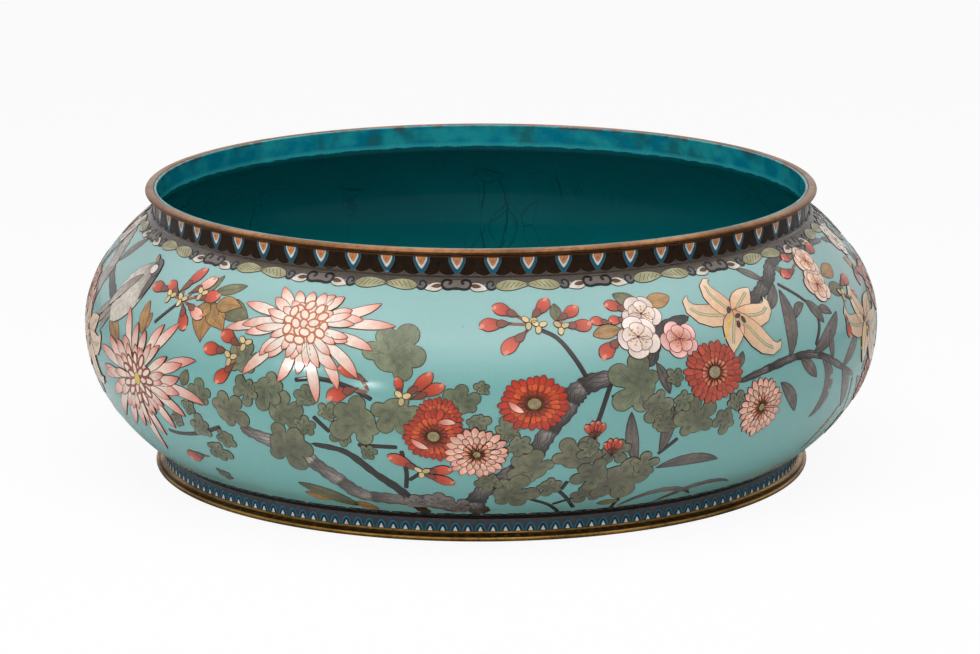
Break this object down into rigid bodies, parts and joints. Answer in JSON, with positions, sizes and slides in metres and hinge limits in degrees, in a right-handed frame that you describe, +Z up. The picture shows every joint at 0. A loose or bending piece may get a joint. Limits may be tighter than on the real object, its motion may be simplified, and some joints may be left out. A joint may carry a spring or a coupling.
{
  "type": "planter",
  "caption": "Low round cloisonne enamel planter: bulging bowl with gilt lip and foot rings, turquoise ground, flower cells, lappet neck band and dark foot borders.",
  "frame": {"origin": "on the floor, at the centre of the foot ring's underside", "axes": "+Z up along the bowl's axis, -Y towards the side that faces the camera, +X to that side's right"},
  "size_m": [0.46, 0.4599, 0.1636],
  "materials": {
    "copper": "raised copper, bare only where the enamel is chipped",
    "gilt": "worn gilding over turned copper, tarnished in the grooves",
    "wire": "tarnished drawn wire, ground level with the enamel",
    "counter_enamel": "dark teal, glossy, crazed",
    "turquoise_enamel": "turquoise, polished, with small pits",
    "dark_enamel": "brown black, polished",
    "border_enamel": "grey with olive cream, polished",
    "blue_enamel": "teal blue with white and orange, polished"
  },
  "bodies": {
    "root": {"copper_bowl": "copper", "copper_neck_collar": "copper", "copper_foot_collar": "copper", "gilt_lip_ring": "gilt", "gilt_foot_ring": "gilt", "neck_wire": "wire", "shoulder_wire": "wire", "foot_border_wire": "wire", "bowl_counter_enamel": "counter_enamel", "neck_counter_enamel": "counter_enamel", "base_counter_enamel": "counter_enamel", "ground_enamel": "turquoise_enamel", "neck_band_enamel": "dark_enamel", "foot_border_enamel": "dark_enamel", "foot_band_enamel": "dark_enamel", "shoulder_border_enamel": "border_enamel", "lappet_cells": "blue_enamel", "foot_arch_cells": "blue_enamel"}
  },
  "joints": []
}
